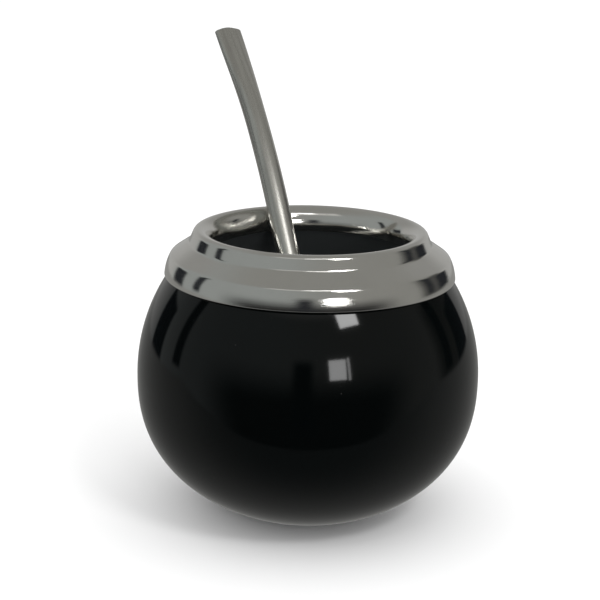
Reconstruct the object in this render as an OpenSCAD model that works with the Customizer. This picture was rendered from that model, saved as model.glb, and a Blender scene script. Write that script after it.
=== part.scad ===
// Mate cup: a round gourd-shaped body of glazed ceramic, a spun metal collar
// fitted over its neck, and a bent metal drinking straw that leans in it.
// The origin is the centre of the flat base, with +Z up. Sizes are in millimetres.

/* [Gourd] */
// Largest radius of the body
body_r = 48.5; // [45:0.5:60]
// Height of the widest ring above the base
belly_h = 40; // [32:0.5:50]
// Rise of the domed upper curve above the widest ring
dome_rise = 50; // [42:0.5:60]
// Radius of the flat base
base_r = 16; // [12:0.5:24]
// Fullness of the rounded lower curve, where 2 is an ellipse
lower_fullness = 2.35; // [2:0.05:3]
// Thickness of the ceramic wall
body_wall = 4.5; // [3.75:0.25:5.5]
// Thickness of the ceramic floor
floor_t = 6; // [4:0.25:8]
// Radius of the flat part of the inner floor
floor_r = 20; // [14:0.5:24]

/* [Collar] */
// Radius of the throat, the narrowest circle of the funnel
throat_r = 27; // [23:0.5:30]
// Width of the funnel's curve, from the throat out to the crest line
funnel_w = 4.3; // [3.5:0.1:5.2]
// Depth of the funnel, from the crest down to the throat
funnel_h = 5.7; // [4.5:0.1:6.5]
// Length of the straight sleeve under the throat
sleeve_h = 0.8; // [0.5:0.1:3]
// Outside bend radius of the crest
crest_bend = 1.65; // [1.4:0.05:2.1]
// Height of the ring, from the cove up to the crest
ring_h = 3.85; // [3.4:0.05:5]
// Lean of the ring's outer wall from upright, in degrees
ring_lean = 23; // [4:0.5:26]
// How far the cove stands above the body
cove_stand = 2.3; // [2:0.1:4]
// Bend radius of the cove between ring and shoulder
cove_bend = 1.7; // [0.6:0.1:2.4]
// Level width of the sloping shoulder
shoulder_w = 5.1; // [4.5:0.1:6.5]
// Slope of the shoulder below level, in degrees
shoulder_slope = 34; // [29:0.5:38]
// Outside bend radius of the shoulder
shoulder_bend = 2; // [1.4:0.1:2.6]
// How far the skirt flares out from the shoulder to its lip
skirt_flare = 1.65; // [1:0.05:2]
// Outward bow of the skirt, as a share of its length
skirt_bow = 0.085; // [0.03:0.005:0.12]
// How far the lip's outer face stands off the body
lip_stand = 1.4; // [1.2:0.1:2.5]
// Thickness of the metal sheet
sheet_t = 0.8; // [0.5:0.05:1]
// Clearance between the collar and the neck that it fits
collar_gap = 0.25; // [0.15:0.05:0.4]

/* [Straw] */
// Diameter of the straw's tube
straw_d = 6.6; // [5.5:0.1:8]
// Thickness of the straw's wall
straw_wall = 0.6; // [0.4:0.05:1]
// Compass turn of the straw's lean, from +Y towards -X, in degrees
straw_turn = 21.9; // [-180:0.1:180]
// Lean of the straight lower tube from upright, in degrees
straw_lean = 36; // [32:0.1:40]
// Lean of the mouthpiece from upright, in degrees
mouth_lean = 50; // [42:0.1:60]
// Length of the bend, which starts where the tube meets the collar
bend_len = 50; // [30:1:60]
// Length of the straw beyond the collar
straw_out = 66.5; // [64:0.5:90]
// Width of the flattened mouthpiece
mouth_w = 8.4; // [7:0.1:9]
// Thickness of the flattened mouthpiece
mouth_t = 3.4; // [3:0.1:5]
// Length over which the tube flattens to the mouthpiece
flatten_len = 38; // [15:1:50]
// Width of the flat strainer bulb at the lower end
strainer_w = 14; // [10:0.5:18]
// Thickness of the strainer bulb
strainer_t = 7.4; // [6.8:0.1:9]
// Length of the strainer bulb
strainer_len = 26; // [20:1:34]
// Length of the bulb's rounded nose
nose_len = 8; // [6:0.5:9]
// Clearance between the straw and what it leans on
straw_gap = 0.25; // [0.15:0.05:0.4]

/* [Hidden] */

// Points on a quarter of a curve, on a bend, and around the straw
CURVE_STEPS = 16;
BEND_STEPS = 6;
TUBE_SIDES = 32;
BEND_STATIONS = 12;
TAPER_STATIONS = 8;
BISECTIONS = 24;

// Share of the skirt that its bow curves, beside the shoulder's bend
BOW_SHARE = 0.95;

// The inner surface runs beside the outer one
cavity_r = body_r - body_wall;
cavity_rise = dome_rise - body_wall;

// Full depth of a lower curve that is cut off flat at a given radius
function curve_depth(depth, r, flat_r) =
    depth / pow(1 - pow(flat_r / r, 2), 1 / lower_fullness);
body_depth = curve_depth(belly_h, body_r, base_r);
cavity_depth = curve_depth(belly_h - floor_t, cavity_r, floor_r);

// Height of the dome above the belly at a radius
function dome_z(x, r, rise) = belly_h + rise * sqrt(1 - pow(x / r, 2));

// The ring fits the neck, and the lip hangs where it stands clear of the dome
crest_r = throat_r + funnel_w;
ring_drop = ring_h - crest_bend * (1 - sin(ring_lean));
cove_r = crest_r + crest_bend * cos(ring_lean) + ring_drop * tan(ring_lean);
shoulder_r = cove_r + shoulder_w;
lip_r = shoulder_r + skirt_flare;
cove_z = dome_z(cove_r, body_r, dome_rise) + cove_stand;
crest_z = cove_z + ring_h;
throat_z = crest_z - funnel_h;
neck_inset = sheet_t + collar_gap;
neck_r = crest_r + crest_bend - neck_inset;
neck_bore_r = throat_r + neck_inset;

// Corners of the collar before bending: lip, shoulder, cove and top of the ring's wall
lip_point = [lip_r, dome_z(lip_r - lip_stand, body_r, dome_rise)];
shoulder_point = [shoulder_r, cove_z - shoulder_w * tan(shoulder_slope)];
cove_point = [cove_r, cove_z];
ring_point = [cove_r - ring_drop * tan(ring_lean), cove_z + ring_drop];

function unit(v) = v / norm(v);
function left_of(v) = [-v[1], v[0]];
function turn_angle(p, q, s) = acos(unit(q - p) * unit(s - q));

// The skirt bows out at a corner half-way between lip and shoulder
skirt_line = shoulder_point - lip_point;
skirt_point = lip_point + skirt_line / 2 - skirt_bow * left_of(skirt_line);
shoulder_angle = turn_angle(skirt_point, shoulder_point, cove_point);
skirt_room = norm(shoulder_point - skirt_point) - shoulder_bend * tan(shoulder_angle / 2);
skirt_bend = BOW_SHARE * skirt_room / (2 * skirt_bow);
lip_normal = left_of(unit(skirt_point - lip_point));

// Points on an arc about c, from angle a to angle b
function arc(c, r, a, b, steps = BEND_STEPS) =
    [for (i = [0:steps]) let (t = a + (b - a) * i / steps) c + r * [cos(t), sin(t)]];

// A bend of outside radius r where the path p, q, s turns, at depth d in the sheet.
// The metal lies on the left of the path, and turn is 1 where the bend is convex.
function bend(p, q, s, r, d) =
    let (u = unit(q - p), v = unit(s - q))
    let (cross_uv = u[0] * v[1] - u[1] * v[0])
    let (turn = cross_uv > 0 ? 1 : -1)
    let (angle = turn_angle(p, q, s))
    let (pivot = q - u * r * tan(angle / 2) + turn * r * left_of(u))
    let (start = atan2(-turn * left_of(u)[1], -turn * left_of(u)[0]))
    arc(pivot, r - turn * d, start, start + turn * angle);

// The funnel is a quarter of an ellipse, at depth d in the sheet
function funnel(d) = [
    for (i = [1:CURVE_STEPS])
        let (t = 90 * i / CURVE_STEPS)
        let (normal = unit([sin(t) / funnel_w, -cos(t) / funnel_h]))
        [crest_r - funnel_w * sin(t), throat_z + funnel_h * cos(t)] + d * normal
];

// The ring's crest from a start angle, and the funnel, at depth d in the sheet
function ring_path(d, start) = concat(
    arc([crest_r, crest_z - crest_bend], crest_bend - d, start, 90),
    funnel(d)
);

// The whole collar from lip to throat, at depth d in the sheet
function collar_path(d) = concat(
    [lip_point + d * lip_normal],
    bend(lip_point, skirt_point, shoulder_point, skirt_bend, d),
    bend(skirt_point, shoulder_point, cove_point, shoulder_bend, d),
    bend(shoulder_point, cove_point, ring_point, cove_bend, d),
    ring_path(d, ring_lean)
);

function reversed(list) = [for (i = [len(list) - 1:-1:0]) list[i]];

// Half-round edge of the sheet, centred half-way through it
function edge(c, start) = arc(c, sheet_t / 2, start, start + 180);

module collar() {
    sleeve_end = [throat_r + sheet_t / 2, throat_z - sleeve_h];
    lip_end = lip_point + sheet_t / 2 * lip_normal;
    color("silver")
        rotate_extrude($fn = 160)
            polygon(concat(
                collar_path(0),
                edge(sleeve_end, 180),
                reversed(collar_path(sheet_t)),
                edge(lip_end, atan2(lip_normal[1], lip_normal[0]))
            ));
}

// Lower curve from the flat up to just below the widest ring
function lower_curve(r, depth, flat_r) = [
    for (i = [0:CURVE_STEPS - 1])
        let (start = acos(flat_r / r))
        let (x = r * cos(start * (1 - i / CURVE_STEPS)))
        [x, belly_h - depth * pow(1 - pow(x / r, 2), 1 / lower_fullness)]
];

// Upper curve from the widest ring in to a radius
function upper_curve(r, rise, end_r) = [
    for (i = [0:CURVE_STEPS])
        let (t = acos(end_r / r) * i / CURVE_STEPS)
        [r * cos(t), belly_h + rise * sin(t)]
];

module gourd() {
    outside = concat(
        [[0, 0]],
        lower_curve(body_r, body_depth, base_r),
        upper_curve(body_r, dome_rise, neck_r),
        ring_path(neck_inset, 0)
    );
    inside = concat(
        [[0, floor_t]],
        lower_curve(cavity_r, cavity_depth, floor_r),
        upper_curve(cavity_r, cavity_rise, neck_bore_r)
    );
    color([0.05, 0.06, 0.06])
        rotate_extrude($fn = 160)
            polygon(concat(outside, reversed(inside)));
}

// The straw lies in one upright plane. A point in it is [reach, height], and the
// place along the straw is counted from where the tube rests on the funnel.
tube_r = straw_d / 2;
rest_t = atan2(funnel_w, funnel_h * tan(straw_lean));
rest_point = [crest_r - funnel_w * sin(rest_t), throat_z + funnel_h * cos(rest_t)];
straw_start = rest_point + (tube_r + straw_gap) * [-cos(straw_lean), sin(straw_lean)];
bend_r = bend_len / ((mouth_lean - straw_lean) * PI / 180);

// Lean of the straw at a place along it
function lean(s) =
    straw_lean + (mouth_lean - straw_lean) * max(0, min(1, s / bend_len));

// Centre of the straw at a place along it
function centre(s) =
    straw_start
    + min(s, 0) * [sin(straw_lean), cos(straw_lean)]
    + bend_r * [cos(straw_lean) - cos(lean(s)), sin(lean(s)) - sin(straw_lean)]
    + max(s - bend_len, 0) * [sin(mouth_lean), cos(mouth_lean)];

// One point round the straw at a place along it, from its half width and thickness
function straw_point(s, w, t, angle) =
    let (p = centre(s) + t * sin(angle) * [cos(lean(s)), -sin(lean(s))])
    [w * cos(angle), p[0], p[1]];

// Above 1 where a point is nearer to the inside of the gourd than the clearance
function wall_level(p) =
    p[2] < floor_t + straw_gap ? 2
        : pow(norm([p[0], p[1]]) / (cavity_r - straw_gap), 2)
            + pow(max(0, belly_h - p[2]) / (cavity_depth - straw_gap), lower_fullness);

// Highest level over the bulb's nose, when its tip lies at a length below the funnel
function nose_level(length) = max([
    for (a = [0:15:90])
        for (b = [0:30:330])
            wall_level(straw_point(nose_len * (1 - cos(a)) - length,
                strainer_w / 2 * sin(a), strainer_t / 2 * sin(a), b))
]);

// Length from the funnel down to the tip, which stops just short of the gourd
function find_reach(low, high, steps) =
    let (middle = (low + high) / 2)
    steps == 0 ? low
        : nose_level(middle) < 1 ? find_reach(middle, high, steps - 1)
            : find_reach(low, middle, steps - 1);
straw_in = find_reach(belly_h, 3 * belly_h, BISECTIONS);

function smooth(t) =
    let (x = max(0, min(1, t)))
    x * x * (3 - 2 * x);

// Half of the straw's width or thickness at a place along it, at depth d in its
// wall, from the half sizes of its bulb and its mouthpiece
function half_size(s, d, bulb, mouth) =
    let (from_tip = s + straw_in)
    let (to_bulb = 1 - smooth((from_tip - nose_len) / (strainer_len - nose_len)))
    let (to_mouth = smooth(1 - (straw_out - s) / flatten_len))
    let (nose = max(0, min(1, (from_tip - d) / (nose_len - d))))
    let (size = tube_r + to_bulb * (bulb - tube_r) + to_mouth * (mouth - tube_r))
    (size - d) * sqrt(1 - pow(1 - nose, 2));

// One ring of points round the straw
function ring(s, d) =
    let (w = half_size(s, d, strainer_w / 2, mouth_w / 2))
    let (t = half_size(s, d, strainer_t / 2, mouth_t / 2))
    [for (i = [0:TUBE_SIDES - 1]) straw_point(s, w, t, 360 * i / TUBE_SIDES)];

// Places along the straw, at depth d in its wall
function stations(d) = concat(
    [for (i = [1:TAPER_STATIONS])
        d - straw_in + (nose_len - d) * (1 - cos(90 * i / TAPER_STATIONS))],
    [for (i = [1:TAPER_STATIONS])
        nose_len - straw_in + (strainer_len - nose_len) * i / TAPER_STATIONS],
    [for (i = [0:BEND_STATIONS - 1])
        (straw_out - flatten_len) * i / BEND_STATIONS],
    [for (i = [0:BEND_STATIONS])
        straw_out - flatten_len * (1 - i / BEND_STATIONS)]
);

module straw() {
    rings = concat(
        [for (s = stations(0)) ring(s, 0)],
        reversed([for (s = stations(straw_wall)) ring(s, straw_wall)])
    );
    points = concat(
        [straw_point(-straw_in, 0, 0, 0)],
        [for (one = rings) each one],
        [straw_point(straw_wall - straw_in, 0, 0, 0)]
    );
    last = len(points) - 1;
    ring_total = len(rings);
    first_cap = [for (i = [0:TUBE_SIDES - 1])
        [0, 1 + i, 1 + (i + 1) % TUBE_SIDES]];
    last_cap = [for (i = [0:TUBE_SIDES - 1])
        let (base = 1 + (ring_total - 1) * TUBE_SIDES)
        [last, base + (i + 1) % TUBE_SIDES, base + i]];
    sides = [for (k = [0:ring_total - 2])
        for (i = [0:TUBE_SIDES - 1])
            let (low = 1 + k * TUBE_SIDES)
            let (high = low + TUBE_SIDES)
            let (j = (i + 1) % TUBE_SIDES)
            each [[low + i, high + i, high + j], [low + i, high + j, low + j]]];
    color([0.6, 0.6, 0.57])
        rotate([0, 0, straw_turn])
            polyhedron(points, concat(first_cap, sides, last_cap));
}

gourd();
collar();
straw();
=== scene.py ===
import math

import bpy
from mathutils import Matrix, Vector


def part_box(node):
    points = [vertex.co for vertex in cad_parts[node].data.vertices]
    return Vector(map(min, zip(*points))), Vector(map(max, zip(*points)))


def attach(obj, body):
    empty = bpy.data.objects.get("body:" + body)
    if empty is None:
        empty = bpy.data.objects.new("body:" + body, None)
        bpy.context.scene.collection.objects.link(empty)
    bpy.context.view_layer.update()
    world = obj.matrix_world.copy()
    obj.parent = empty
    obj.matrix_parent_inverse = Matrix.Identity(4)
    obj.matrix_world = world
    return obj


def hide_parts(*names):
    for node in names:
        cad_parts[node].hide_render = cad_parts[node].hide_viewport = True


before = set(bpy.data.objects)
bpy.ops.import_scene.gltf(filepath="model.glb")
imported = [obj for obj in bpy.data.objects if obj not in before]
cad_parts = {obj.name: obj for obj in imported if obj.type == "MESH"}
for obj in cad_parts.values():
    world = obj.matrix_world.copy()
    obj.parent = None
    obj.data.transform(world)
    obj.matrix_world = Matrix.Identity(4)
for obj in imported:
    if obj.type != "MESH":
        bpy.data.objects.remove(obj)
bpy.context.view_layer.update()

# %% [markdown]
# # A mate cup with a metal collar and a drinking straw
#
# The cup is a round ceramic body under a black glaze. A collar of spun aluminium
# sheet sits on its neck, and a bent steel straw leans in the mouth. Each of the three
# is made here as one smooth mesh around the fixed construction model, and then gets
# a finish whose colour, gloss and fine relief are worked out by shader nodes.
#
# The construction model's box is kept first, because nothing made here may leave it.

MM = 0.001


def box_of(node):
    """Lowest and highest corners of a construction node, in millimetres."""
    low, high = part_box(node)
    return Vector(low) / MM, Vector(high) / MM


gourd_low, gourd_high = box_of("gourd")
collar_high = box_of("collar")[1]
straw_low, straw_high = box_of("straw")
print("gourd, collar and straw tops in mm:", gourd_high.z, collar_high.z, straw_high.z)

# %% [markdown]
# ## Node trees written as arithmetic
#
# Geometry trees and shaders are both graphs of nodes. Wiring each Math node by hand
# hides the formula, so a socket is wrapped in a small class: adding or multiplying
# two wires adds the Math node that does it. Every other node is made by one method.


# %% A wire, and the graph that it belongs to
class Wire:
    """An output socket that can be used in ordinary arithmetic."""

    def __init__(self, graph, socket):
        self.graph = graph
        self.socket = socket

    def math(self, operation, *others):
        """This wire through a Math node, with up to two more values or wires."""
        inputs = {0: self}
        inputs.update({place + 1: other for place, other in enumerate(others)})
        return self.graph.add("ShaderNodeMath", {"operation": operation}, inputs)

    def __add__(self, other):
        return self.math("ADD", other)

    def __sub__(self, other):
        return self.math("SUBTRACT", other)

    def __mul__(self, other):
        return self.math("MULTIPLY", other)

    def __truediv__(self, other):
        return self.math("DIVIDE", other)

    def __pow__(self, other):
        return self.math("POWER", other)

    def __rsub__(self, other):
        return self.graph.add("ShaderNodeMath", {"operation": "SUBTRACT"}, {0: other, 1: self})

    def __rtruediv__(self, other):
        return self.graph.add("ShaderNodeMath", {"operation": "DIVIDE"}, {0: other, 1: self})

    __radd__ = __add__
    __rmul__ = __mul__

    def parts(self):
        """The X, Y and Z of a wire that carries a vector."""
        split = self.graph.add("ShaderNodeSeparateXYZ", None, {0: self}).socket.node
        return [Wire(self.graph, socket) for socket in split.outputs]

    def step(self, start, end):
        """0 before start and 1 after end, with an eased rise between them."""
        return self.graph.add(
            "ShaderNodeMapRange",
            {"interpolation_type": "SMOOTHSTEP"},
            {"Value": self, "From Min": start, "From Max": end},
        )

    def within(self, rise, fall):
        """1 between two fades, each given by its start and end, and 0 outside them."""
        return self.step(*rise) * (1 - self.step(*fall))


class Graph:
    """A node tree, whose nodes all come from one method."""

    def __init__(self, tree):
        self.tree = tree

    def add(self, kind, settings=None, inputs=None, output=0):
        """Make a node, set its settings and sockets, and return one of its outputs."""
        node = self.tree.nodes.new(kind)
        for name, value in (settings or {}).items():
            setattr(node, name, value)
        for name, value in (inputs or {}).items():
            if isinstance(value, Wire):
                self.tree.links.new(value.socket, node.inputs[name])
            else:
                node.inputs[name].default_value = value
        outputs = [socket for socket in node.outputs if socket.enabled]
        if not outputs:
            return None
        named = {socket.name: socket for socket in outputs}
        return Wire(self, named[output] if output in named else outputs[output])


# %% [markdown]
# ## Profiles
#
# The cup and its collar are turned shapes, so each is fully described by a profile
# from its axis outwards: pairs of radius and height. The sizes below are those of the
# construction model, in millimetres. The body is an ellipse above its widest ring
# and a fuller curve below it, and the collar is a folded sheet of even thickness.

# %% Sizes of the turned pieces, in millimetres
BODY_R = min(-gourd_low.x, -gourd_low.y, gourd_high.x, gourd_high.y)
BELLY_H = 40
DOME_RISE = 50
BASE_R = 16
FULLNESS = 2.35
BODY_WALL = 4.5
FLOOR_T = 6
FLOOR_R = 20

THROAT_R = 27
FUNNEL_W = 4.3
FUNNEL_H = 5.7
SLEEVE_H = 0.8
CREST_BEND = 1.65
RING_H = 3.85
RING_LEAN = math.radians(23)
COVE_BEND = 1.7
SHOULDER_W = 5.1
SHOULDER_SLOPE = math.radians(34)
SHOULDER_BEND = 2
SKIRT_FLARE = 1.65
SKIRT_BOW = 0.085
BOW_SHARE = 0.95
LIP_STAND = 1.4
SHEET_T = 0.8
COLLAR_GAP = 0.25

CREST_R = THROAT_R + FUNNEL_W
RING_DROP = RING_H - CREST_BEND * (1 - math.sin(RING_LEAN))
RING_R = CREST_R + CREST_BEND * math.cos(RING_LEAN)
COVE_R = RING_R + RING_DROP * math.tan(RING_LEAN)
SHOULDER_R = COVE_R + SHOULDER_W
LIP_R = SHOULDER_R + SKIRT_FLARE
CREST_Z = collar_high.z
COVE_Z = CREST_Z - RING_H
THROAT_Z = CREST_Z - FUNNEL_H
NECK_INSET = SHEET_T + COLLAR_GAP
print("crest circle:", CREST_R, "at", CREST_Z, "and lip circle:", LIP_R)


def dome_z(x):
    """Height of the upper curve at a radius."""
    return BELLY_H + DOME_RISE * math.sqrt(1 - (x / BODY_R) ** 2)


# %% How finely the curves are cut: steps in each, and the longest gaps in millimetres
BEND_STEPS = 14
CREST_STEPS = 18
FUNNEL_STEPS = 36
EDGE_STEPS = 10
LOWER_STEPS = 56
UPPER_STEPS = 48
COLLAR_GAPS = 0.8
GOURD_GAPS = 2.0


# %% Points along a turned profile
def arc(centre, radius, start, end, steps):
    """Points on an arc, with its angles in radians."""
    angles = [start + (end - start) * i / steps for i in range(steps + 1)]
    return [centre + radius * Vector((math.cos(a), math.sin(a))) for a in angles]


def left_of(direction):
    """The direction turned a quarter to the left."""
    return Vector((-direction.y, direction.x))


def bend(before, corner, after, radius, depth):
    """A rounded corner of a sheet, at a depth in its thickness."""
    arriving = (corner - before).normalized()
    leaving = (after - corner).normalized()
    turn = 1 if arriving.x * leaving.y - arriving.y * leaving.x > 0 else -1
    angle = math.acos(arriving.dot(leaving))
    pivot = corner - arriving * radius * math.tan(angle / 2)
    pivot += turn * radius * left_of(arriving)
    outward = -turn * left_of(arriving)
    start = math.atan2(outward.y, outward.x)
    return arc(pivot, radius - turn * depth, start, start + turn * angle, BEND_STEPS)


def funnel_point(t):
    """A point on the funnel's visible face, from its crest at 0 to its throat."""
    return Vector((CREST_R - FUNNEL_W * math.sin(t), THROAT_Z + FUNNEL_H * math.cos(t)))


def ring_path(depth, start):
    """The ring's crest from a start angle, and the funnel, at a depth in the sheet."""
    pivot = Vector((CREST_R, CREST_Z - CREST_BEND))
    points = arc(pivot, CREST_BEND - depth, start, math.pi / 2, CREST_STEPS)
    for i in range(1, FUNNEL_STEPS + 1):
        t = math.pi / 2 * i / FUNNEL_STEPS
        normal = Vector((math.sin(t) / FUNNEL_W, -math.cos(t) / FUNNEL_H)).normalized()
        points.append(funnel_point(t) + depth * normal)
    return points


def filled(points, gap):
    """The same outline with more points on its long straight stretches."""
    result = [points[0]]
    for point in points[1:]:
        start = result[-1]
        parts = max(1, math.ceil((point - start).length / gap))
        result += [start.lerp(point, (i + 1) / parts) for i in range(parts)]
    return result


# %% The collar's profile: out along the visible face and back along the hidden one
lip_point = Vector((LIP_R, dome_z(LIP_R - LIP_STAND)))
shoulder_point = Vector((SHOULDER_R, COVE_Z - SHOULDER_W * math.tan(SHOULDER_SLOPE)))
cove_point = Vector((COVE_R, COVE_Z))
ring_point = Vector((RING_R, COVE_Z + RING_DROP))

# The skirt bows out at a corner half-way between lip and shoulder
skirt_line = shoulder_point - lip_point
skirt_point = lip_point + skirt_line / 2 - SKIRT_BOW * left_of(skirt_line)
shoulder_angle = (shoulder_point - skirt_point).angle(cove_point - shoulder_point)
skirt_room = (shoulder_point - skirt_point).length - SHOULDER_BEND * math.tan(shoulder_angle / 2)
skirt_bend = BOW_SHARE * skirt_room / (2 * SKIRT_BOW)
lip_normal = left_of((skirt_point - lip_point).normalized())


def collar_path(depth):
    """The collar from its lip to its throat, at a depth in the sheet."""
    return (
        [lip_point + depth * lip_normal]
        + bend(lip_point, skirt_point, shoulder_point, skirt_bend, depth)
        + bend(skirt_point, shoulder_point, cove_point, SHOULDER_BEND, depth)
        + bend(shoulder_point, cove_point, ring_point, COVE_BEND, depth)
        + ring_path(depth, RING_LEAN)
    )


def collar_profile():
    """The collar's closed outline, with its two edges rounded."""
    sleeve_end = Vector((THROAT_R + SHEET_T / 2, THROAT_Z - SLEEVE_H))
    lip_end = lip_point + SHEET_T / 2 * lip_normal
    lip_start = math.atan2(lip_normal.y, lip_normal.x)
    lip_edge = arc(lip_end, SHEET_T / 2, lip_start, lip_start + math.pi, EDGE_STEPS)
    sleeve_edge = arc(sleeve_end, SHEET_T / 2, math.pi, 2 * math.pi, EDGE_STEPS)
    outline = collar_path(0) + sleeve_edge + collar_path(SHEET_T)[::-1] + lip_edge
    return filled(outline, COLLAR_GAPS)


# %% The gourd's profile: up the outside, over the neck and down to the inner floor
def lower_curve(radius, depth, flat_r):
    """The fuller curve from a flat bottom to just below the widest ring."""
    full_depth = depth / (1 - (flat_r / radius) ** 2) ** (1 / FULLNESS)
    start = math.acos(flat_r / radius)
    points = []
    for i in range(LOWER_STEPS):
        x = radius * math.cos(start * (1 - i / LOWER_STEPS))
        drop = full_depth * (1 - (x / radius) ** 2) ** (1 / FULLNESS)
        points.append(Vector((x, BELLY_H - drop)))
    return points


def upper_curve(radius, rise, end_r):
    """The elliptical curve from the widest ring in to a radius."""
    turn = math.acos(end_r / radius)
    angles = [turn * i / UPPER_STEPS for i in range(UPPER_STEPS + 1)]
    return [Vector((radius * math.cos(a), BELLY_H + rise * math.sin(a))) for a in angles]


def gourd_profile():
    """The gourd's outline, from the axis under it to the axis on its inner floor."""
    cavity_r = BODY_R - BODY_WALL
    outside = [Vector((0, 0))]
    outside += lower_curve(BODY_R, BELLY_H, BASE_R)
    outside += upper_curve(BODY_R, DOME_RISE, CREST_R + CREST_BEND - NECK_INSET)
    outside += ring_path(NECK_INSET, 0)
    inside = [Vector((0, FLOOR_T))]
    inside += lower_curve(cavity_r, BELLY_H - FLOOR_T, FLOOR_R)
    inside += upper_curve(cavity_r, DOME_RISE - BODY_WALL, THROAT_R + NECK_INSET)
    return filled(outside + inside[::-1], GOURD_GAPS)


print("profile points:", len(gourd_profile()), "gourd,", len(collar_profile()), "collar")

# %% [markdown]
# ## Turning a profile into a shell
#
# A lathe follows one rule: each point of the profile goes once round the axis. That
# suits Geometry Nodes. The tree below starts from a flat grid with one row for each
# profile point, looks the point up by its row number, and swings it round by its
# column number. Where the grid's two ends meet, and at the poles, the doubled points
# are merged, which closes the seam. Screw or Spin would also work, but this tree
# keeps the distance along the profile, which the finishes need for turning marks.


# %% A mesh that only carries a line of points
def line_object(name, points, values):
    """A wire mesh in metres through the points, with named values on each point."""
    mesh = bpy.data.meshes.new(name)
    steps = [(i, i + 1) for i in range(len(points) - 1)]
    mesh.from_pydata([Vector(p) * MM for p in points], steps, [])
    for key, numbers in values.items():
        kind = "FLOAT_VECTOR" if isinstance(numbers[0], Vector) else "FLOAT"
        layer = mesh.attributes.new(key, kind, "POINT")
        field = "vector" if kind == "FLOAT_VECTOR" else "value"
        for place, number in zip(layer.data, numbers):
            setattr(place, field, number)
    line = bpy.data.objects.new(name, mesh)
    bpy.context.collection.objects.link(line)
    return line


def lengths_along(points):
    """Distance along a line of points, in millimetres."""
    result = [0.0]
    for before, after in zip(points, points[1:]):
        result.append(result[-1] + (after - before).length)
    return result


# %% A geometry tree with a line, a number of columns and a material as its inputs
MERGE_LENGTH = 0.002 * MM


def new_shell_tree(name):
    """An empty tree with the inputs that every shell here takes."""
    tree = bpy.data.node_groups.new(name, "GeometryNodeTree")
    face = tree.interface
    face.new_socket("Mesh", in_out="OUTPUT", socket_type="NodeSocketGeometry")
    face.new_socket("Line", in_out="INPUT", socket_type="NodeSocketGeometry")
    face.new_socket("Columns", in_out="INPUT", socket_type="NodeSocketInt")
    face.new_socket("Material", in_out="INPUT", socket_type="NodeSocketMaterial")
    return Graph(tree)


def rows_and_columns(graph, line, columns):
    """A grid with one row per point of the line, and its row and column numbers."""
    rows = graph.add(
        "GeometryNodeAttributeDomainSize", None, {"Geometry": line}, "Point Count"
    )
    grid = graph.add(
        "GeometryNodeMeshGrid", None, {"Vertices X": columns + 1, "Vertices Y": rows}
    )
    index = graph.add("GeometryNodeInputIndex")
    column = (index / rows).math("FLOOR")
    row = index - column * rows
    return grid, row, column


def on_row(graph, line, row, key, kind="FLOAT"):
    """The value that the line's point of this row carries."""
    value = graph.add("GeometryNodeInputNamedAttribute", {"data_type": kind}, {"Name": key})
    return graph.add(
        "GeometryNodeSampleIndex",
        {"data_type": kind},
        {"Geometry": line, "Value": value, "Index": row},
    )


def finish_shell(graph, mesh, along, material):
    """Keep the distance along the line, close the seam, and set the material."""
    mesh = graph.add(
        "GeometryNodeStoreNamedAttribute",
        {"data_type": "FLOAT", "domain": "POINT"},
        {"Geometry": mesh, "Name": "along", "Value": along},
    )
    mesh = graph.add(
        "GeometryNodeMergeByDistance", None, {"Geometry": mesh, "Distance": MERGE_LENGTH}
    )
    mesh = graph.add("GeometryNodeSetShadeSmooth", None, {"Geometry": mesh})
    mesh = graph.add("GeometryNodeRealizeInstances", None, {"Geometry": mesh})
    mesh = graph.add("GeometryNodeSetMaterial", None, {"Geometry": mesh, "Material": material})
    graph.add("NodeGroupOutput", None, {"Mesh": mesh})


# %% The lathe tree
def lathe_tree():
    """Swing the line's points, which lie in the XZ plane, round the Z axis."""
    graph = new_shell_tree("lathe")
    line = graph.add("NodeGroupInput", None, None, "Line")
    columns = graph.add("NodeGroupInput", None, None, "Columns")
    material = graph.add("NodeGroupInput", None, None, "Material")
    grid, row, column = rows_and_columns(graph, line, columns)
    radius = on_row(graph, line, row, "radius")
    height = on_row(graph, line, row, "height")
    angle = column * math.tau / columns
    place = graph.add(
        "ShaderNodeCombineXYZ",
        None,
        {"X": radius * angle.math("COSINE"), "Y": radius * angle.math("SINE"), "Z": height},
    )
    mesh = graph.add("GeometryNodeSetPosition", None, {"Geometry": grid, "Position": place})
    finish_shell(graph, mesh, on_row(graph, line, row, "distance"), material)
    return graph.tree


# %% Running a tree on a line, and keeping the result as a plain mesh
def run_tree(tree, line, name, wanted):
    """Run the tree on the line with the wanted inputs, and keep its result as a mesh."""
    modifier = line.modifiers.new(tree.name, "NODES")
    modifier.node_group = tree
    for item in tree.interface.items_tree:
        if item.in_out == "INPUT" and item.name in wanted:
            modifier[item.identifier] = wanted[item.name]
    view = bpy.context.evaluated_depsgraph_get()
    mesh = bpy.data.meshes.new_from_object(line.evaluated_get(view), depsgraph=view)
    bpy.data.objects.remove(line)
    mesh.name = name
    piece = bpy.data.objects.new(name, mesh)
    bpy.context.collection.objects.link(piece)
    print(name, "has", len(mesh.polygons), "faces")
    return piece


LATHE_COLUMNS = 256


def turned(name, profile, material):
    """A turned piece from its profile."""
    line = line_object(
        name + "_profile",
        [Vector((p.x, 0, p.y)) for p in profile],
        {
            "radius": [p.x * MM for p in profile],
            "height": [p.y * MM for p in profile],
            "distance": lengths_along(profile),
        },
    )
    return run_tree(lathe, line, name, {"Columns": LATHE_COLUMNS, "Material": material})


lathe = lathe_tree()

# %% [markdown]
# ## Black glaze
#
# The body is a glazed ceramic: almost black, and as smooth as glass, so most of what
# the eye sees is the room reflected in it. A plain dark surface would look like
# plastic, so the glaze gets a faint slow unevenness, as a fired coat has, and a little
# grain in its gloss. Inside, the same clay has a thinner, satin coat. One material
# does both: it tells inside from outside by a surface that runs midway in the wall.


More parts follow.
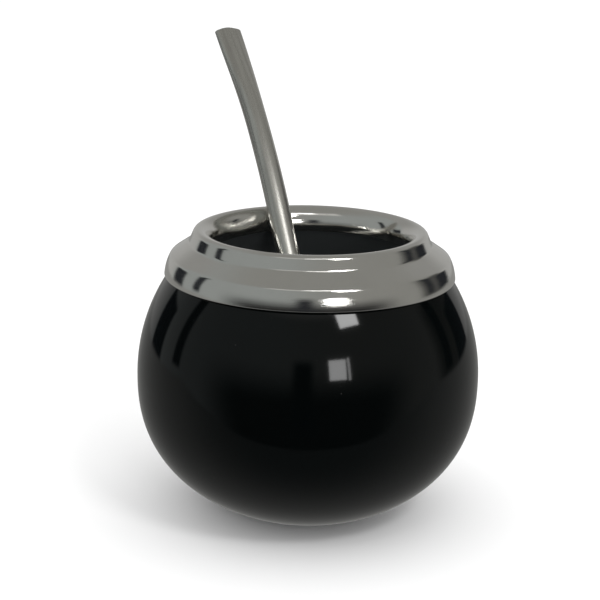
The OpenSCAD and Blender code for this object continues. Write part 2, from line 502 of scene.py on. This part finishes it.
# %% New materials
def new_material(name):
    """A material with an empty node tree, and its graph."""
    material = bpy.data.materials.new(name)
    material.use_nodes = True
    material.node_tree.nodes.clear()
    return material, Graph(material.node_tree)


def finish_material(graph, uniform, varying):
    """Set a Principled shader's plain values, link its varying ones, and output it."""
    values = dict(uniform)
    values.update(varying)
    shader = graph.add("ShaderNodeBsdfPrincipled", None, values)
    graph.add("ShaderNodeOutputMaterial", None, {"Surface": shader})


def colour_mix(graph, factor, first, second):
    """A blend of two colours or colour wires."""
    return graph.add(
        "ShaderNodeMix",
        {"data_type": "RGBA"},
        {0: factor, 6: first, 7: second},
    )


def noise(graph, place, scale, detail=2.0, roughness=0.5):
    """Soft noise, with about as many lumps in each unit of the place as its scale."""
    return graph.add(
        "ShaderNodeTexNoise",
        None,
        {"Vector": place, "Scale": scale, "Detail": detail, "Roughness": roughness},
    )


def dots(graph, place, scale, core, rim):
    """1 in small round dots and 0 between, fading from core to rim, as shares of a cell."""
    cells = graph.add("ShaderNodeTexVoronoi", None, {"Vector": place, "Scale": scale})
    return 1 - cells.step(core, rim)


def relief(graph, height, strength, distance):
    """The surface's direction with a fine relief of this height."""
    return graph.add(
        "ShaderNodeBump",
        None,
        {"Height": height, "Strength": strength, "Distance": distance},
    )


# %% The glaze
GLAZE_BLACK = (0.0005, 0.0009, 0.0009, 1)
INSIDE_GREY = (0.080, 0.088, 0.090, 1)
DUST_GREY = (0.10, 0.10, 0.095, 1)
INSIDE_FADE = (0.98, 1.0)
DUST_FADE = (0.68, 0.74)


def glaze_material():
    """Glassy black outside, satin grey inside, with a little dust fired in."""
    material, graph = new_material("black_glaze")
    place = graph.add("ShaderNodeTexCoord", None, None, "Object")
    x, y, z = place.parts()
    mid_r = (BODY_R - BODY_WALL / 2) * MM
    mid_rise = (DOME_RISE - BODY_WALL / 2) * MM
    mid_drop = (BELLY_H - FLOOR_T / 2) * MM
    across = (x * x + y * y) / mid_r ** 2
    up = ((z - BELLY_H * MM) / mid_rise).math("MAXIMUM", 0)
    down = ((BELLY_H * MM - z) / mid_drop).math("MAXIMUM", 0)
    level = across + up * up + down ** FULLNESS
    inside = 1 - level.step(*INSIDE_FADE)
    outside = 1 - inside
    dusty = noise(graph, place, scale=90.0, detail=1.0).step(*DUST_FADE)
    dust = dots(graph, place, scale=700.0, core=0.05, rim=0.16) * dusty
    base = colour_mix(graph, inside, GLAZE_BLACK, INSIDE_GREY)
    colour = colour_mix(graph, dust * (0.25 + 0.5 * inside), base, DUST_GREY)
    smear = noise(graph, place, scale=60.0, detail=4.0, roughness=0.6)
    gloss = 0.05 + 0.04 * smear
    satin = 0.42 + 0.12 * smear
    roughness = gloss * outside + satin * inside
    swell = noise(graph, place, scale=45.0)
    grain = noise(graph, place, scale=900.0, detail=3.0)
    height = swell * 0.12 + grain * (0.004 + 0.05 * inside)
    normal = relief(graph, height, strength=0.35, distance=0.0004)
    finish_material(
        graph,
        {"IOR": 1.5, "Specular IOR Level": 0.25},
        {"Base Color": colour, "Roughness": roughness, "Normal": normal},
    )
    return material


glaze = glaze_material()

# %% [markdown]
# ## Spun aluminium
#
# The collar was spun from sheet and polished on the lathe. The polishing leaves very
# fine rings, which stretch each highlight across them, and the soft metal picks up
# small pits and rubs. The rings are drawn from the distance along the profile, so
# they run true round every bend, and only break up slightly as they go round.


# %% The collar's metal
SPUN_BRIGHT = (0.74, 0.73, 0.70, 1)
SPUN_DULL = (0.62, 0.61, 0.58, 1)
PIT_GREY = (0.18, 0.17, 0.16, 1)
WORN_FADE = (0.60, 0.70)
RING_WANDER = 0.12


def spun_metal():
    """Polished metal with rings from the lathe, small pits and rubs."""
    material, graph = new_material("spun_aluminium")
    place = graph.add("ShaderNodeTexCoord", None, None, "Object")
    along = graph.add("ShaderNodeAttribute", {"attribute_name": "along"}, None, "Fac")
    wander = noise(graph, place, scale=25.0)
    across = graph.add("ShaderNodeCombineXYZ", None, {"X": along + RING_WANDER * wander})
    fine = noise(graph, across, scale=9.0, detail=4.0, roughness=0.7)
    coarse = noise(graph, across, scale=1.6)
    worn = noise(graph, place, scale=55.0, detail=1.0).step(*WORN_FADE)
    pits = dots(graph, place, scale=420.0, core=0.04, rim=0.14) * worn
    rub = noise(graph, place, scale=120.0, detail=4.0, roughness=0.65)
    roughness = 0.05 + 0.05 * fine + 0.03 * rub + 0.20 * pits
    height = fine * 0.5 + coarse * 0.35 - pits * 1.2
    normal = relief(graph, height, strength=0.35, distance=0.00006)
    metal = colour_mix(graph, 0.25 + 0.5 * rub, SPUN_BRIGHT, SPUN_DULL)
    colour = colour_mix(graph, pits * 0.7, metal, PIT_GREY)
    finish_material(
        graph,
        {"Metallic": 1.0},
        {"Base Color": colour, "Roughness": roughness, "Normal": normal},
    )
    return material


aluminium = spun_metal()

# %% [markdown]
# ## The two turned pieces
#
# Both take the same lathe tree. The gourd stands for the construction model's gourd
# and the collar for its collar, so the plain solids are hidden behind them.

# %% Turning the gourd and the collar
gourd = turned("gourd_body", gourd_profile(), glaze)
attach(gourd, "root")
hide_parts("gourd")

collar = turned("neck_collar", collar_profile(), aluminium)
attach(collar, "root")
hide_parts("collar")

# %% [markdown]
# ## The straw
#
# The straw is a thin steel tube. It runs straight from a flat strainer bulb inside
# the cup, bends slowly where it leaves the mouth, and is pressed flat where it is
# drunk from. All of that is a section that changes along a line, so the straw is
# lofted: a spine of points carries its half width, half thickness and direction, and
# the tree sweeps an oval round it. The spine runs up the outer wall, over the rounded rim
# and back down the bore, so the tube is hollow and closed in one surface.

# %% Sizes of the straw, in millimetres and radians
TUBE_R = 3.3
TUBE_WALL = 0.6
STRAW_TURN = math.radians(21.9)
STRAW_LEAN = math.radians(36)
MOUTH_LEAN = math.radians(50)
BEND_LEN = 50
STRAW_OUT = 66.5
MOUTH_W = 8.4
MOUTH_T = 3.4
FLATTEN_LEN = 38
STRAINER_W = 14
STRAINER_T = 7.4
STRAINER_LEN = 26
NOSE_LEN = 8
STRAW_GAP = 0.25

# Steps along its nose, its tube and half-way round the edge of its rim
NOSE_STEPS = 16
TUBE_STEPS = 150
RIM_STEPS = 8


# %% The straw's centre line, counted from where the tube leans on the funnel
rest_t = math.atan2(FUNNEL_W, FUNNEL_H * math.tan(STRAW_LEAN))
away = Vector((-math.cos(STRAW_LEAN), math.sin(STRAW_LEAN)))
straw_start = funnel_point(rest_t) + (TUBE_R + STRAW_GAP) * away
bend_r = BEND_LEN / (MOUTH_LEAN - STRAW_LEAN)
across_plane = Vector((math.cos(STRAW_TURN), math.sin(STRAW_TURN), 0))
reach_way = Vector((-math.sin(STRAW_TURN), math.cos(STRAW_TURN), 0))


def lean(s):
    """Lean from upright at a place along the straw."""
    return STRAW_LEAN + (MOUTH_LEAN - STRAW_LEAN) * max(0, min(1, s / BEND_LEN))


def in_plane(reach, height):
    """A point or direction of the straw's upright plane."""
    return reach * reach_way + Vector((0, 0, height))


def centre(s):
    """Centre of the straw at a place along it."""
    reach = straw_start.x + min(s, 0) * math.sin(STRAW_LEAN)
    height = straw_start.y + min(s, 0) * math.cos(STRAW_LEAN)
    reach += bend_r * (math.cos(STRAW_LEAN) - math.cos(lean(s)))
    height += bend_r * (math.sin(lean(s)) - math.sin(STRAW_LEAN))
    reach += max(s - BEND_LEN, 0) * math.sin(MOUTH_LEAN)
    height += max(s - BEND_LEN, 0) * math.cos(MOUTH_LEAN)
    return in_plane(reach, height)


nose_drop = math.hypot(NOSE_LEN * math.cos(STRAW_LEAN), STRAINER_T / 2 * math.sin(STRAW_LEAN))
STRAW_IN = NOSE_LEN + (straw_start.y - straw_low.z - nose_drop) / math.cos(STRAW_LEAN)
print("the straw reaches", round(STRAW_IN, 2), "mm into the cup")


# %% The straw's section at each place
def smooth(t):
    """An eased rise from 0 to 1."""
    t = max(0, min(1, t))
    return t * t * (3 - 2 * t)


def half_size(s, depth, bulb, mouth):
    """Half the width or thickness at a place, at a depth in the wall."""
    from_tip = s + STRAW_IN
    to_bulb = 1 - smooth((from_tip - NOSE_LEN) / (STRAINER_LEN - NOSE_LEN))
    to_mouth = smooth(1 - (STRAW_OUT - s) / FLATTEN_LEN)
    nose = max(0, min(1, (from_tip - depth) / (NOSE_LEN - depth)))
    size = TUBE_R + to_bulb * (bulb - TUBE_R) + to_mouth * (mouth - TUBE_R)
    return (size - depth) * math.sqrt(1 - (1 - nose) ** 2)


def stations(depth):
    """Places along the straw from its tip to its mouth, for one skin."""
    turns = [math.pi / 2 * i / NOSE_STEPS for i in range(NOSE_STEPS + 1)]
    nose = [depth - STRAW_IN + (NOSE_LEN - depth) * (1 - math.cos(turn)) for turn in turns]
    start = nose[-1]
    reach = STRAW_OUT - TUBE_WALL / 2 - start
    return nose + [start + reach * i / TUBE_STEPS for i in range(1, TUBE_STEPS + 1)]


def straw_spine():
    """Each row of the loft: its place along the straw, and its depth in the wall."""
    rows = [(s, 0.0) for s in stations(0.0)]
    half_wall = TUBE_WALL / 2
    for i in range(1, RIM_STEPS):
        turn = math.pi * i / RIM_STEPS
        place = STRAW_OUT - half_wall + half_wall * math.sin(turn)
        rows.append((place, half_wall * (1 - math.cos(turn))))
    rows += [(s, TUBE_WALL) for s in reversed(stations(TUBE_WALL))]
    return rows


# %% The loft tree, and how the rim's wave runs across the oval, in radians
WAVE_TURN = 4.2
WAVE_START = 0.6


def loft_tree():
    """Sweep an oval along the line, whose points carry its sizes and directions."""
    graph = new_shell_tree("loft")
    face = graph.tree.interface
    face.new_socket("Rim Wave", in_out="INPUT", socket_type="NodeSocketFloat")
    face.new_socket("Side", in_out="INPUT", socket_type="NodeSocketVector")
    line = graph.add("NodeGroupInput", None, None, "Line")
    columns = graph.add("NodeGroupInput", None, None, "Columns")
    material = graph.add("NodeGroupInput", None, None, "Material")
    wave = graph.add("NodeGroupInput", None, None, "Rim Wave")
    side = graph.add("NodeGroupInput", None, None, "Side")
    grid, row, column = rows_and_columns(graph, line, columns)
    angle = column * math.tau / columns
    cosine = angle.math("COSINE")
    sine = angle.math("SINE")
    width = on_row(graph, line, row, "half_width")
    thickness = on_row(graph, line, row, "half_thickness")
    rim = on_row(graph, line, row, "rim")
    middle = on_row(graph, line, row, "middle", "FLOAT_VECTOR")
    normal = on_row(graph, line, row, "normal", "FLOAT_VECTOR")
    forward = graph.add(
        "ShaderNodeVectorMath", {"operation": "CROSS_PRODUCT"}, {0: side, 1: normal}
    )
    dip = rim * wave * ((cosine * WAVE_TURN + WAVE_START).math("COSINE") - 1)
    moves = ((side, width * cosine), (normal, thickness * sine), (forward, dip))
    place = middle
    for direction, amount in moves:
        step = graph.add(
            "ShaderNodeVectorMath", {"operation": "SCALE"}, {0: direction, "Scale": amount}
        )
        place = graph.add("ShaderNodeVectorMath", {"operation": "ADD"}, {0: place, 1: step})
    mesh = graph.add("GeometryNodeSetPosition", None, {"Geometry": grid, "Position": place})
    finish_shell(graph, mesh, on_row(graph, line, row, "distance"), material)
    return graph.tree


loft = loft_tree()

# %% [markdown]
# ## Brushed steel
#
# The straw is stainless steel with a satin finish, rubbed lengthwise and handled
# often. Its grain is a fine noise that is stretched along the tube, so that the
# highlight stays a narrow line down its length, with wider faint streaks between.


# %% The straw's metal
STEEL_BRIGHT = (0.64, 0.63, 0.59, 1)
STEEL_DULL = (0.42, 0.41, 0.38, 1)
STREAK_FADE = (0.35, 0.65)


def brushed_steel():
    """Satin steel with a grain and streaks that run along the tube."""
    material, graph = new_material("brushed_steel")
    place = graph.add("ShaderNodeTexCoord", None, None, "Object")
    along = graph.add("ShaderNodeAttribute", {"attribute_name": "along"}, None, "Fac")
    x, y, _ = place.parts()
    sideways = x * math.cos(STRAW_TURN) + y * math.sin(STRAW_TURN)

    def lengthwise(across, down, detail, roughness=0.5):
        """Noise that is stretched along the tube."""
        spot = {"X": sideways * across, "Y": along * down}
        stretched = graph.add("ShaderNodeCombineXYZ", None, spot)
        return noise(graph, stretched, 1.0, detail, roughness)

    grain = lengthwise(across=9000.0, down=0.25, detail=3.0, roughness=0.6)
    streak = lengthwise(across=1100.0, down=0.03, detail=2.0).step(*STREAK_FADE)
    rub = noise(graph, place, scale=160.0, detail=3.0, roughness=0.6)
    roughness = 0.16 + 0.08 * grain + 0.08 * rub + 0.05 * streak
    normal = relief(graph, grain * 0.6 + rub * 0.4, strength=0.25, distance=0.00004)
    tone = 0.5 * rub + 0.5 * streak
    colour = colour_mix(graph, tone, STEEL_BRIGHT, STEEL_DULL)
    finish_material(
        graph,
        {"Metallic": 1.0},
        {"Base Color": colour, "Roughness": roughness, "Normal": normal},
    )
    return material


steel = brushed_steel()

# %% Lofting the straw, with the rim's wave and its fade in millimetres
RIM_WAVE = 0.12
RIM_FADE = 5.0
STRAW_COLUMNS = 64


def make_straw():
    """The straw from its spine, with a slight wave in the mouth's edge."""
    rows = straw_spine()
    places = [s for s, _ in rows]
    widths = [half_size(s, depth, STRAINER_W / 2, MOUTH_W / 2) for s, depth in rows]
    thicknesses = [half_size(s, depth, STRAINER_T / 2, MOUTH_T / 2) for s, depth in rows]
    line = line_object(
        "straw_spine",
        [centre(s) for s in places],
        {
            "half_width": [width * MM for width in widths],
            "half_thickness": [thickness * MM for thickness in thicknesses],
            "rim": [smooth(1 - (STRAW_OUT - s) / RIM_FADE) for s in places],
            "middle": [centre(s) * MM for s in places],
            "normal": [in_plane(math.cos(lean(s)), -math.sin(lean(s))) for s in places],
            "distance": places,
        },
    )
    wanted = {
        "Columns": STRAW_COLUMNS,
        "Material": steel,
        "Rim Wave": RIM_WAVE * MM,
        "Side": list(across_plane),
    }
    return run_tree(loft, line, "drinking_straw", wanted)


straw = make_straw()
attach(straw, "root")
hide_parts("straw")

# %% [markdown]
# ## Floor, light and camera
#
# A glossy black body is a mirror of its surroundings, so the light is laid out for
# what it reflects. The studio is white and even for the eye and for soft light. What
# a gloss reflects instead is a plain room: grey walls, a grey table that ends in front
# of the cup, a pale band high up in front, and a few dark upright things that give the
# metal its contrast. At the right is a window of two panes, with a skylight and a
# ceiling light above it, and these are area lamps.

# %% The floor
FLOOR_HALF = 4.0
FLOOR_DROP = 0.0002
FLOOR_PALE = (0.86, 0.86, 0.86, 1)


def make_floor():
    """A wide pale sheet just under the cup, which a gloss doesn't reflect."""
    corners = [(-1, -1), (1, -1), (1, 1), (-1, 1)]
    mesh = bpy.data.meshes.new("floor")
    mesh.from_pydata(
        [(x * FLOOR_HALF, y * FLOOR_HALF, -FLOOR_DROP) for x, y in corners], [], [(0, 1, 2, 3)]
    )
    material, graph = new_material("pale_floor")
    finish_material(
        graph,
        {"Base Color": FLOOR_PALE, "Roughness": 0.9, "Specular IOR Level": 0.0},
        {},
    )
    mesh.materials.append(material)
    result = bpy.data.objects.new("floor", mesh)
    bpy.context.collection.objects.link(result)
    result.visible_glossy = False
    return result


make_floor()

# %% The room: white for the eye and for soft light, grey where a gloss reflects it
WALL_LEFT = (0.34, 0.36, 0.355, 1)
WALL_RIGHT = (0.30, 0.30, 0.285, 1)
SIDE_WALL = (0.08, 0.08, 0.077, 1)
BACK_WALL = (0.44, 0.44, 0.43, 1)
BACK_HIGH = (0.33, 0.33, 0.32, 1)
LOW_WALL = (0.03, 0.03, 0.03, 1)
CEILING = (0.30, 0.30, 0.285, 1)
TABLE_NEAR = (0.12, 0.125, 0.125, 1)
TABLE_FAR = (0.30, 0.30, 0.29, 1)
PALE = (0.66, 0.66, 0.64, 1)
DARK = (0.020, 0.022, 0.026, 1)
SOFT_LIGHT = (1.25, 1.25, 1.25, 1)

# Where one tone fades into the next: turns and rises in radians, and the others as a
# share of the way to the right or to the front
LEFT_TO_RIGHT = (-0.5, 0.5)
SIDE_BEGINS = (1.6, 1.8)
SIDE_ENDS = (2.25, 2.45)
SIDE_TOP = (0.35, 0.6)
BACK_TOP = (0.2, 0.5)
LOW_TOP = (-0.1, 0.35)
LOW_SIDES = (0.2, 0.7)
CEILING_BEGINS = (0.7, 1.2)
TABLE_RECEDES = (0.75, -0.1)

# The table's edge hangs lower in front, and is slightly soft
EDGE_DIP = 0.5
EDGE_DROP = 0.1
EDGE_FADE = (-0.02, 0.02)

# Patches of the room: colour, softness of the edges, and then the first and last
# compass turn right of the front and the lowest and highest elevation, in degrees
PATCHES = (
    (PALE, 4.0, -45, 45, 49, 59),
    (DARK, 1.2, -132, -116, -8, 14),
    (DARK, 1.2, -102, -94, -2, 32),
    (DARK, 3.5, -10, 3, -20, 21),
    (DARK, 1.2, 104, 112, -4, 34),
    (DARK, 1.2, 120, 138, -6, 12),
)


def block(turn, rise, soft, left, right, low, high):
    """1 inside a patch of the room and 0 around it, with soft edges."""
    fades = [
        (math.radians(angle) - math.radians(soft), math.radians(angle) + math.radians(soft))
        for angle in (left, right, low, high)
    ]
    return turn.within(*fades[:2]) * rise.within(*fades[2:])


def make_room():
    """The world's shader, which splits by whether a gloss sees it."""
    world = bpy.data.worlds.new("studio")
    bpy.context.scene.world = world
    world.use_nodes = True
    world.node_tree.nodes.clear()
    graph = Graph(world.node_tree)
    way = graph.add("ShaderNodeTexCoord", None, None, "Generated")
    right, backward, up = way.parts()
    front = backward * -1
    turn = right.math("ARCTAN2", front)
    rise = up.math("ARCSINE")
    walls = colour_mix(graph, right.step(*LEFT_TO_RIGHT), WALL_LEFT, WALL_RIGHT)
    beside = turn.within(SIDE_BEGINS, SIDE_ENDS) * (1 - rise.step(*SIDE_TOP))
    walls = colour_mix(graph, beside, walls, SIDE_WALL)
    behind = colour_mix(graph, rise.step(*BACK_TOP), BACK_WALL, BACK_HIGH)
    walls = colour_mix(graph, turn.math("ABSOLUTE").step(*SIDE_ENDS), walls, behind)
    low = (1 - rise.step(*LOW_TOP)) * front.step(*LOW_SIDES)
    walls = colour_mix(graph, low, walls, LOW_WALL)
    room = colour_mix(graph, rise.step(*CEILING_BEGINS), walls, CEILING)
    for colour, *place in PATCHES:
        room = colour_mix(graph, block(turn, rise, *place), room, colour)
    table = colour_mix(graph, front.step(*TABLE_RECEDES), TABLE_NEAR, TABLE_FAR)
    over_edge = up + EDGE_DIP * front.math("MAXIMUM", 0) + EDGE_DROP
    room = colour_mix(graph, over_edge.step(*EDGE_FADE), table, room)
    glossy = graph.add("ShaderNodeLightPath", None, None, "Is Glossy Ray")
    seen = colour_mix(graph, glossy, SOFT_LIGHT, room)
    background = graph.add("ShaderNodeBackground", None, {"Color": seen, "Strength": 1.0})
    graph.add("ShaderNodeOutputWorld", None, {"Surface": background})


make_room()

# %% Lamps
LAMP_AWAY = 1.5

# Compass turn right of the front, elevation, width and height in degrees, and radiance
LAMPS = (
    ("window_main", 19.5, 16, 11, 12, 10),
    ("window_side", 27.2, 16, 1.6, 13, 7),
    ("skylight", 34, 45, 12.5, 9, 18),
    ("ceiling_light", 17, 58, 24, 4, 3.2),
)


def lamp(name, turn, rise, wide, high, radiance):
    """A rectangular lamp that faces the cup and spans the given angles in degrees."""
    data = bpy.data.lights.new(name, "AREA")
    data.shape = "RECTANGLE"
    data.size = 2 * LAMP_AWAY * math.tan(math.radians(wide) / 2)
    data.size_y = 2 * LAMP_AWAY * math.tan(math.radians(high) / 2)
    data.energy = radiance * math.pi * data.size * data.size_y
    result = bpy.data.objects.new(name, data)
    bpy.context.collection.objects.link(result)
    turn = math.radians(turn)
    rise = math.radians(rise)
    level = Vector((math.sin(turn), -math.cos(turn), 0))
    way = level * math.cos(rise) + Vector((0, 0, math.sin(rise)))
    result.location = Vector((0, 0, BELLY_H * MM)) + LAMP_AWAY * way
    result.rotation_euler = way.to_track_quat("Z", "Y").to_euler()
    result.visible_camera = False


for lamp_row in LAMPS:
    lamp(*lamp_row)

# %% The camera
SENSOR_W = 36
LENS = 95.58
CAMERA_RISE = math.radians(15.354)
CAMERA_ROLL = math.radians(1.138)
CAMERA_AWAY = 0.450
CAMERA_AIM = Vector((-0.00261, 0, 0.06104))

camera_data = bpy.data.cameras.new("camera")
camera_data.sensor_width = SENSOR_W
camera_data.lens = LENS
camera = bpy.data.objects.new("camera", camera_data)
bpy.context.collection.objects.link(camera)
back = Vector((0, -math.cos(CAMERA_RISE), math.sin(CAMERA_RISE)))
standing = Matrix.Translation(CAMERA_AIM + CAMERA_AWAY * back)
facing = back.to_track_quat("Z", "Y").to_matrix().to_4x4()
camera.matrix_world = standing @ facing @ Matrix.Rotation(CAMERA_ROLL, 4, "Z")
bpy.context.scene.camera = camera
bpy.context.scene.view_settings.view_transform = "Standard"
